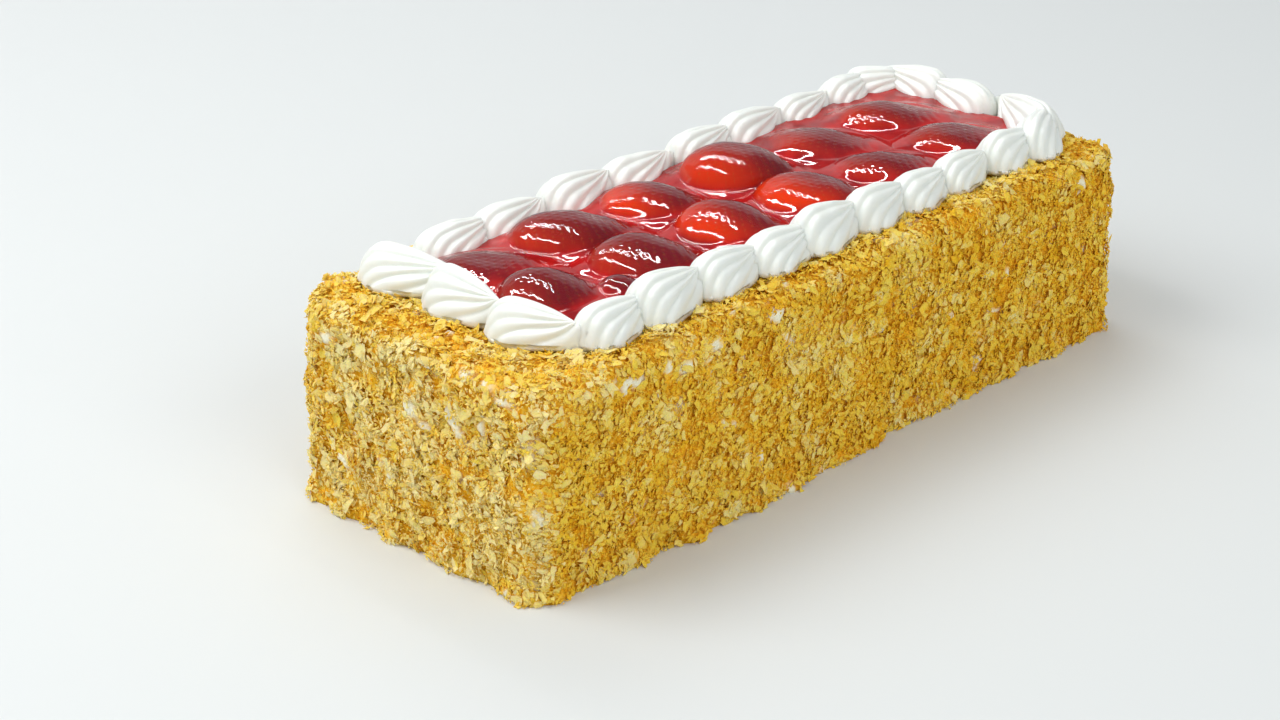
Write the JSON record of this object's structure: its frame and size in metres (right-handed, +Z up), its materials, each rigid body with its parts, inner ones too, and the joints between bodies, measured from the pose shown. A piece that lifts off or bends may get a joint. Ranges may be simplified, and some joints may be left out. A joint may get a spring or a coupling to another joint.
{
  "type": "strawberry mille-feuille",
  "caption": "Loaf-shaped mille-feuille coated in crushed pastry flakes, topped with a piped cream border round halved strawberries set in red glaze.",
  "frame": {"origin": "on the table under the middle of the loaf", "axes": "+X along the loaf's length, +Z up, -Y towards its near long side"},
  "size_m": [0.3297, 0.1321, 0.0938],
  "materials": {
    "pastry_flakes": "matt golden puff-pastry flakes over a thin coat of cream",
    "whipped_cream": "smooth satin white whipped cream, piped in ridged shells",
    "strawberry": "wet red strawberry flesh with small seeds",
    "strawberry_glaze": "clear, wet and glossy red fruit glaze"
  },
  "bodies": {
    "root": {"mille_feuille_loaf": "pastry_flakes", "cream_shell_01": "whipped_cream", "cream_shell_02": "whipped_cream", "cream_shell_03": "whipped_cream", "cream_shell_04": "whipped_cream", "cream_shell_05": "whipped_cream", "cream_shell_06": "whipped_cream", "cream_shell_07": "whipped_cream", "cream_shell_08": "whipped_cream", "cream_shell_09": "whipped_cream", "cream_shell_10": "whipped_cream", "cream_shell_11": "whipped_cream", "cream_shell_12": "whipped_cream", "cream_shell_13": "whipped_cream", "cream_shell_14": "whipped_cream", "cream_shell_15": "whipped_cream", "cream_shell_16": "whipped_cream", "cream_shell_17": "whipped_cream", "cream_shell_18": "whipped_cream", "cream_shell_19": "whipped_cream", "cream_shell_20": "whipped_cream", "cream_shell_21": "whipped_cream", "cream_shell_22": "whipped_cream", "cream_shell_23": "whipped_cream", "cream_shell_24": "whipped_cream", "cream_shell_25": "whipped_cream", "strawberry_01": "strawberry", "strawberry_02": "strawberry", "strawberry_03": "strawberry", "strawberry_04": "strawberry", "strawberry_05": "strawberry", "strawberry_06": "strawberry", "strawberry_07": "strawberry", "strawberry_08": "strawberry", "strawberry_09": "strawberry", "strawberry_10": "strawberry", "strawberry_11": "strawberry", "strawberry_12": "strawberry", "strawberry_13": "strawberry", "strawberry_glaze": "strawberry_glaze"}
  },
  "joints": []
}
